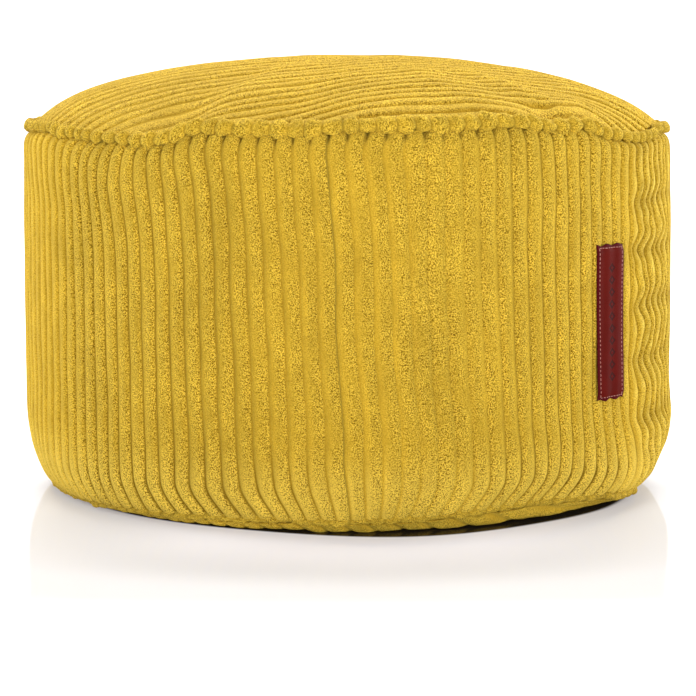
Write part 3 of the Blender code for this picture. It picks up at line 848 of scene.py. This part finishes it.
    me.polygons.foreach_set("use_smooth", np.ones(len(me.polygons), bool))
    me.materials.append(thread)
    st_ob = bpy.data.objects.new("tab_stitches", me)
    bpy.context.scene.collection.objects.link(st_ob)
    return tab, st_ob


# ------------------------------------------------------------------ materials
def new_material(name):
    m = bpy.data.materials.new(name)
    m.use_nodes = True
    nt = m.node_tree
    for n in list(nt.nodes):
        if n.type != "OUTPUT_MATERIAL":
            nt.nodes.remove(n)
    return m, nt


class Graph:
    """Short names for the nodes that the materials are made of."""

    def __init__(self, nt):
        self.nt = nt

    def node(self, kind, **values):
        n = self.nt.nodes.new(kind)
        for k, v in values.items():
            setattr(n, k, v)
        return n

    def put(self, socket, value):
        if isinstance(value, bpy.types.NodeSocket):
            self.nt.links.new(value, socket)
        else:
            socket.default_value = value

    def math(self, op, a, b=0.0, clamp=False):
        n = self.node("ShaderNodeMath", operation=op, use_clamp=clamp)
        self.put(n.inputs[0], a)
        self.put(n.inputs[1], b)
        return n.outputs[0]

    def attr(self, name):
        return self.node("ShaderNodeAttribute", attribute_name=name)

    def scaled(self, vector, scale):
        n = self.node("ShaderNodeVectorMath", operation="MULTIPLY")
        self.put(n.inputs[0], vector)
        n.inputs[1].default_value = scale
        return n.outputs[0]

    def noise(self, vector, scale=1.0, detail=2.0, rough=0.5, distort=0.0):
        n = self.node("ShaderNodeTexNoise")
        self.put(n.inputs["Vector"], vector)
        n.inputs["Scale"].default_value = scale
        n.inputs["Detail"].default_value = detail
        n.inputs["Roughness"].default_value = rough
        n.inputs["Distortion"].default_value = distort
        return n.outputs["Fac"]

    def remap(self, value, a, b, c=0.0, d=1.0, smoothstep=False):
        n = self.node("ShaderNodeMapRange")
        if smoothstep:
            n.interpolation_type = "SMOOTHSTEP"
        self.put(n.inputs["Value"], value)
        n.inputs["From Min"].default_value = a
        n.inputs["From Max"].default_value = b
        n.inputs["To Min"].default_value = c
        n.inputs["To Max"].default_value = d
        return n.outputs["Result"]

    def mix(self, fac, a, b, mode="MIX"):
        n = self.node("ShaderNodeMix", data_type="RGBA", blend_type=mode)
        self.put(n.inputs[0], fac)
        self.put(n.inputs[6], a)
        self.put(n.inputs[7], b)
        return n.outputs[2]

    def bump(self, height, strength, distance, normal=None):
        n = self.node("ShaderNodeBump")
        self.put(n.inputs["Height"], height)
        self.put(n.inputs["Strength"], strength)
        n.inputs["Distance"].default_value = distance
        if normal is not None:
            self.put(n.inputs["Normal"], normal)
        return n.outputs["Normal"]


def corduroy(name, base=(0.548, 0.337, 0.024), deep=(0.145, 0.076, 0.002), light=(0.795, 0.540, 0.060),
             painted_shade_colour=(0.150, 0.078, 0.003), grain=1.0, sheen=0.35):
    m, nt = new_material(name)
    g = Graph(nt)
    cloth = g.attr("cloth").outputs["Vector"]
    pile = g.attr("pile").outputs["Fac"]
    painted_shade = g.attr("painted_shade").outputs["Fac"]
    mm = g.scaled(cloth, (1000.0, 1000.0, 1000.0))
    # patches where the pile is brushed another way, longer along the wale
    patch = g.noise(g.scaled(mm, (0.085, 0.034, 0.05)), 1.0, 3.0, 0.6)
    patch2 = g.noise(g.scaled(mm, (0.020, 0.012, 0.02)), 1.0, 2.0, 0.5)
    # tufts: short flecks of pile, finer and coarser
    fleck = g.noise(g.scaled(mm, (1.34, 1.04, 1.22)), 1.0, 1.0, 0.5, 0.7)
    fine = g.noise(g.scaled(mm, (2.2, 1.8, 2.0)), 1.0, 1.0, 0.5, 0.2)
    grains = g.math("ADD", g.remap(fleck, 0.38, 0.58, -1.0, 1.0), g.remap(fine, 0.34, 0.66, -0.75, 0.75))
    grainy = g.math("MULTIPLY", pile, g.remap(patch, 0.36, 0.56, 0.60, 1.0, True))
    g_dark = g.math("MULTIPLY", g.remap(grains, 0.12, -0.82, 0.0, 1.0), grainy)
    g_lit = g.math("MULTIPLY", g.remap(grains, 0.2, 1.4, 0.0, 1.0), grainy)
    # painted highlight: the base colour is drawn towards a pale yellow
    col = g.mix(g.math("MULTIPLY", g.attr("painted_light").outputs["Fac"], 0.95), (*base, 1), (0.90, 0.65, 0.11, 1))
    col = g.mix(g.math("MULTIPLY", g_dark, 1.12 * grain), col, (*deep, 1))
    col = g.mix(g.math("MULTIPLY", g_lit, 1.0 * grain), col, (*light, 1))
    tone = g.math("ADD", g.remap(patch, 0.3, 0.7, -0.15, 0.15), g.remap(patch2, 0.3, 0.7, -0.07, 0.07))
    bright = g.math("ADD", 1.0, tone)
    comb = g.node("ShaderNodeCombineColor")
    for i in range(3):
        nt.links.new(bright, comb.inputs[i])
    col = g.mix(1.0, col, comb.outputs[0], "MULTIPLY")
    # painted shade: the colour is drawn towards a dark brown by the shade attribute
    col = g.mix(painted_shade, col, (*painted_shade_colour, 1))
    # height of the pile
    h = g.math("ADD", g.math("MULTIPLY", fleck, g.remap(grainy, 0, 1, 0.35, 1.0)), g.math("MULTIPLY", fine, 0.45))
    n1 = g.bump(h, 1.0 * grain, 0.0020)
    bsdf = g.node("ShaderNodeBsdfPrincipled")
    g.put(bsdf.inputs["Base Color"], col)
    bsdf.inputs["Roughness"].default_value = 0.92
    bsdf.inputs["Specular IOR Level"].default_value = 0.08
    bsdf.inputs["Sheen Weight"].default_value = sheen
    bsdf.inputs["Sheen Roughness"].default_value = 0.30
    bsdf.inputs["Sheen Tint"].default_value = (1.0, 0.80, 0.12, 1.0)
    g.put(bsdf.inputs["Normal"], n1)
    out = next(n for n in nt.nodes if n.type == "OUTPUT_MATERIAL")
    nt.links.new(bsdf.outputs[0], out.inputs["Surface"])
    return m


def leather(name):
    m, nt = new_material(name)
    g = Graph(nt)
    cloth = g.attr("cloth").outputs["Vector"]
    mm = g.scaled(cloth, (1000.0, 1000.0, 1000.0))
    sep = g.node("ShaderNodeSeparateXYZ")
    nt.links.new(mm, sep.inputs[0])
    x, y = sep.outputs[0], sep.outputs[1]
    grain = g.noise(g.scaled(mm, (1.5, 1.5, 1.0)), 1.0, 4.0, 0.6, 0.3)
    vor = g.node("ShaderNodeTexVoronoi", feature="DISTANCE_TO_EDGE")
    nt.links.new(g.scaled(mm, (0.95, 0.95, 1.0)), vor.inputs["Vector"])
    vor.inputs["Scale"].default_value = 1.0
    pebble = g.remap(vor.outputs["Distance"], 0.0, 0.16, 0.0, 1.0, True)
    cloud = g.noise(g.scaled(mm, (0.08, 0.05, 1.0)), 1.0, 3.0, 0.55)
    col = g.mix(g.remap(cloud, 0.3, 0.7), (0.066, 0.0032, 0.0015, 1), (0.086, 0.0044, 0.0022, 1))
    col = g.mix(g.math("MULTIPLY", g.math("SUBTRACT", 1.0, pebble), 0.35), col, (0.056, 0.002, 0.001, 1))
    # darker burnished rim
    ax = g.math("ABSOLUTE", x)
    ay = g.math("ABSOLUTE", g.math("SUBTRACT", y, 56.0))
    rim = g.math("MAXIMUM", g.remap(ax, 13.2, 14.2, 0, 1, True), g.remap(ay, 53.4, 54.4, 0, 1, True))
    col = g.mix(g.math("MULTIPLY", rim, 0.70), col, (0.050, 0.004, 0.006, 1))
    # a plain running row of small lozenges, debossed
    cell = g.math("SUBTRACT", g.math("FRACT", g.math("DIVIDE", g.math("SUBTRACT", y, 12.0), 8.8)), 0.5)
    loz = g.math("ADD", g.math("DIVIDE", ax, 4.2), g.math("MULTIPLY", g.math("ABSOLUTE", cell), 2.35))
    inside = g.remap(loz, 0.93, 1.0, 1.0, 0.0, True)
    hole = g.remap(loz, 0.38, 0.46, 0.0, 1.0, True)
    window = g.math("LESS_THAN", ay, 44.0)
    press = g.math("MULTIPLY", g.math("MULTIPLY", inside, hole), window)
    col = g.mix(g.math("MULTIPLY", press, 0.78), col, (0.020, 0.006, 0.006, 1))
    h = g.math("ADD", g.math("MULTIPLY", pebble, 0.35), g.math("MULTIPLY", grain, 0.5))
    n1 = g.bump(h, 0.35, 0.0004)
    n2 = g.bump(g.math("SUBTRACT", 1.0, press), 0.6, 0.0005, n1)
    bsdf = g.node("ShaderNodeBsdfPrincipled")
    g.put(bsdf.inputs["Base Color"], col)
    g.put(bsdf.inputs["Roughness"], g.remap(grain, 0.3, 0.7, 0.55, 0.72))
    bsdf.inputs["Specular IOR Level"].default_value = 0.02
    g.put(bsdf.inputs["Normal"], n2)
    out = next(n for n in nt.nodes if n.type == "OUTPUT_MATERIAL")
    nt.links.new(bsdf.outputs[0], out.inputs["Surface"])
    return m


def thread_material(name):
    m, nt = new_material(name)
    g = Graph(nt)
    co = g.node("ShaderNodeTexCoord").outputs["Object"]
    twist = g.noise(g.scaled(co, (4200.0, 4200.0, 5200.0)), 1.0, 2.0, 0.5)
    col = g.mix(g.remap(twist, 0.35, 0.65), (0.24, 0.06, 0.05, 1), (0.50, 0.22, 0.16, 1))
    bsdf = g.node("ShaderNodeBsdfPrincipled")
    g.put(bsdf.inputs["Base Color"], col)
    bsdf.inputs["Roughness"].default_value = 0.55
    g.put(bsdf.inputs["Normal"], g.bump(twist, 0.3, 0.0002))
    out = next(n for n in nt.nodes if n.type == "OUTPUT_MATERIAL")
    nt.links.new(bsdf.outputs[0], out.inputs["Surface"])
    return m


cord_side = corduroy("corduroy_side")
cord_top = corduroy("corduroy_top", sheen=0.2)
cord_base = corduroy("corduroy_base", grain=0.8)
cord_bead = corduroy("corduroy_bead")
hide = leather("maroon_leather")
thread = thread_material("pale_thread")

# ------------------------------------------------------------------ the pieces
side = make_side(cord_side)
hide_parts("side_band")

g = panel(239.6, 15.0, 11.7, top_course, dome_height, 1.0, 3.0, 170, 3.0, 1.2,
          lambda d: 239.6 + 0 * d, 51)
top = closed_panel("top_cloth", g, lambda d: 236.2, lambda d: periodic(SEAM_LINE, d) + 0.6, 281.0, cord_top)
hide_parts("top_panel")

g = panel(235.2, 48.0, CORD, base_course, base_height, -1.0, 2.0, 110, 1.0, 2.0,
          lambda d: hem(d, 2) - 1.2, 61)
base = closed_panel(
    "base_cloth", g, lambda d: hem(d, 2) - 5.8, lambda d: 9.9 + 0.75 * (hem(d, 1) - HEM_Z), 10.6, cord_base
)
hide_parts("bottom_panel")

beads = bead_ring(
    "top_cord", WALES, -0.9, lambda d: SEAM_R + 5.9 - periodic(TOP_CORD_LINE, d),
    lambda d: periodic(SEAM_LINE, d), lambda d: periodic(TOP_CORD_LINE, d), (0.97, 1.04),
    (0.50, 0.78), 0.42, (0.45, 0.45), 0.30, 0.20, 12, 20, cord_bead, 301,
)
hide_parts("top_piping")
hem_cord = bead_ring(
    "base_cord", WALES, 0.4, lambda d: hem(d, 2), lambda d: hem(d, 1), lambda d: hem(d, 4),
    (1.05, 0.95), (0.30, 0.30), 0.35, (0.8, 0.6), 1.1, 0.28, 10, 16, cord_bead, 402,
)
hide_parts("bottom_piping")

tab, stitches = make_tab(hide, thread)
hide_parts("label")

for ob, slot in ((side, "corduroy"), (top, "corduroy"), (base, "corduroy"), (beads, "corduroy"),
                 (hem_cord, "corduroy"), (tab, "leather_tab"), (stitches, "leather_tab")):
    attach(ob, "root")

# ------------------------------------------------------------------ the studio
def make_floor():
    me = bpy.data.meshes.new("studio_floor")
    xs = np.linspace(-6, 6, 2)
    prof = [(-4.0, 0.0), (2.4, 0.0)]
    for t in np.linspace(0, math.pi / 2, 14)[1:]:
        prof.append((2.4 + 1.6 * math.sin(t), 1.6 - 1.6 * math.cos(t)))
    prof.append((4.0, 5.0))
    verts, faces = [], []
    for y, z in prof:
        for x in xs:
            verts.append((x, y, z))
    for i in range(len(prof) - 1):
        faces.append((2 * i, 2 * i + 1, 2 * i + 3, 2 * i + 2))
    me.from_pydata(verts, [], faces)
    me.polygons.foreach_set("use_smooth", np.ones(len(faces), bool))
    ob = bpy.data.objects.new("studio_floor", me)
    bpy.context.scene.collection.objects.link(ob)
    m, nt = new_material("pale_floor")
    g = Graph(nt)
    place = g.node("ShaderNodeTexCoord").outputs["Object"]
    sep = g.node("ShaderNodeSeparateXYZ")
    nt.links.new(place, sep.inputs[0])
    away = g.math("SQRT", g.math("ADD", g.math("POWER", sep.outputs[0], 2.0), g.math("POWER", sep.outputs[1], 2.0)))
    turn = g.math("ARCTAN2", sep.outputs[0], g.math("MULTIPLY", sep.outputs[1], -1.0))

    def swell(at, spread, size):
        q = g.math("DIVIDE", g.math("SUBTRACT", turn, math.radians(at)), math.radians(spread))
        return g.math("MULTIPLY", g.math("EXPONENT", g.math("MULTIPLY", g.math("MULTIPLY", q, q), -0.5)), size)

    # painted contact shadow under the bag; the bag stands closest to the floor at the left, and clear of it at the
    # right
    past = g.math("SUBTRACT", g.math("SUBTRACT", away, swell(12.0, 15.0, 0.018)), swell(52.0, 15.0, 0.0072))
    past = g.math("SUBTRACT", past, swell(15.0, 42.0, 0.008))
    lit = g.remap(past, 0.216, 0.221, 0.0, 1.0, True)
    bsdf = g.node("ShaderNodeBsdfPrincipled")
    # painted shadow: near-black floor colour under the bag
    g.put(bsdf.inputs["Base Color"], g.mix(lit, (0.022, 0.018, 0.014, 1), (0.42, 0.42, 0.42, 1)))
    bsdf.inputs["Roughness"].default_value = 0.04
    bsdf.inputs["IOR"].default_value = 1.10
    bsdf.inputs["Emission Color"].default_value = (1, 1, 1, 1)
    # a glowing table: its emission is painted light and shade, none under the bag, shaped close round it, brighter
    # away from it and up the backdrop, with a painted reflection of the bag in front of it, where it glows less and
    # a little tinted
    side = g.math("ABSOLUTE", sep.outputs[0])
    across = g.math("DIVIDE", side, g.math("ADD", sep.outputs[1], 2.042))
    painted_reflection = g.math("MULTIPLY", g.remap(across, 0.1225, 0.1265, 1.0, 0.0, True),
                  g.remap(sep.outputs[1], -0.49, -0.43, 0.0, 1.0, True))
    painted_reflection = g.math("MULTIPLY", painted_reflection, g.remap(sep.outputs[1], -0.05, 0.05, 1.0, 0.0, True))
    glow = g.math("ADD", g.remap(away, 0.40, 0.47, 0.28, 0.16, True), g.remap(away, 0.46, 0.62, 0.0, 0.25, True))
    glow = g.math("ADD", glow, g.math("MULTIPLY", g.remap(away, 0.275, 0.385, 0.27, 0.0, True),
                                      g.remap(side, 0.08, 0.21, 1.0, 0.0, True)))
    glow = g.math("ADD", glow, g.math("MULTIPLY", g.remap(past, 0.221, 0.262, -0.10, 0.0, True),
                                      g.remap(side, 0.10, 0.20, 1.0, 0.2, True)))
    glow = g.math("ADD", glow, g.math("MULTIPLY", g.math("SUBTRACT", 1.0, painted_reflection), 0.25))
    glow = g.math("MULTIPLY", lit, glow)
    glow = g.math("ADD", glow, g.remap(away, 0.8, 2.0, 0.0, 0.35, True))
    g.put(bsdf.inputs["Emission Strength"], glow)
    g.put(bsdf.inputs["Emission Color"], g.mix(painted_reflection, (1, 1, 1, 1), (0.97, 0.94, 1.0, 1)))
    out = next(n for n in nt.nodes if n.type == "OUTPUT_MATERIAL")
    nt.links.new(bsdf.outputs[0], out.inputs["Surface"])
    me.materials.append(m)
    return ob


floor = make_floor()


def area(name, loc, target, size, power, colour=(1, 1, 1)):
    light = bpy.data.lights.new(name, "AREA")
    light.shape = "RECTANGLE"
    light.size, light.size_y = size
    light.energy = power
    light.color = colour
    ob = bpy.data.objects.new(name, light)
    ob.location = loc
    d = np.array(target) - np.array(loc)
    ob.rotation_euler = bpy_direction(d)
    bpy.context.scene.collection.objects.link(ob)
    return ob


def bpy_direction(d):
    from mathutils import Vector
    return Vector(tuple(float(c) for c in d)).to_track_quat("-Z", "Y").to_euler()


area("key_left", (-2.5, 1.15, 0.95), (0, 0, 0.15), (1.1, 1.5), 95)
area("key_right", (2.5, 1.30, 0.95), (0, 0, 0.15), (1.1, 1.5), 90)
area("fill_front", (0.3, -3.0, 0.44), (0, 0, 0.08), (2.6, 1.1), 114)
area("overhead", (0.0, 1.15, 2.2), (0, 0, 0.2), (2.6, 1.2), 161)

world = bpy.data.worlds.new("studio")
bpy.context.scene.world = world
world.use_nodes = True
bg = world.node_tree.nodes["Background"]
bg.inputs["Color"].default_value = (1, 1, 1, 1)
bg.inputs["Strength"].default_value = 0.30

scene = bpy.context.scene
scene.view_settings.view_transform = "Standard"
scene.view_settings.look = "None"

cam_data = bpy.data.cameras.new("camera")
cam_data.sensor_width = 36.0
cam_data.lens = 2574.0 / 696.0 * 36.0
cam_data.clip_start, cam_data.clip_end = 0.05, 50.0
cam = bpy.data.objects.new("camera", cam_data)
cam.location = (0.0008, -2.0, 0.346)
cam.rotation_euler = (math.radians(90.0 - 6.93), 0.0, 0.0)
scene.collection.objects.link(cam)
scene.camera = cam
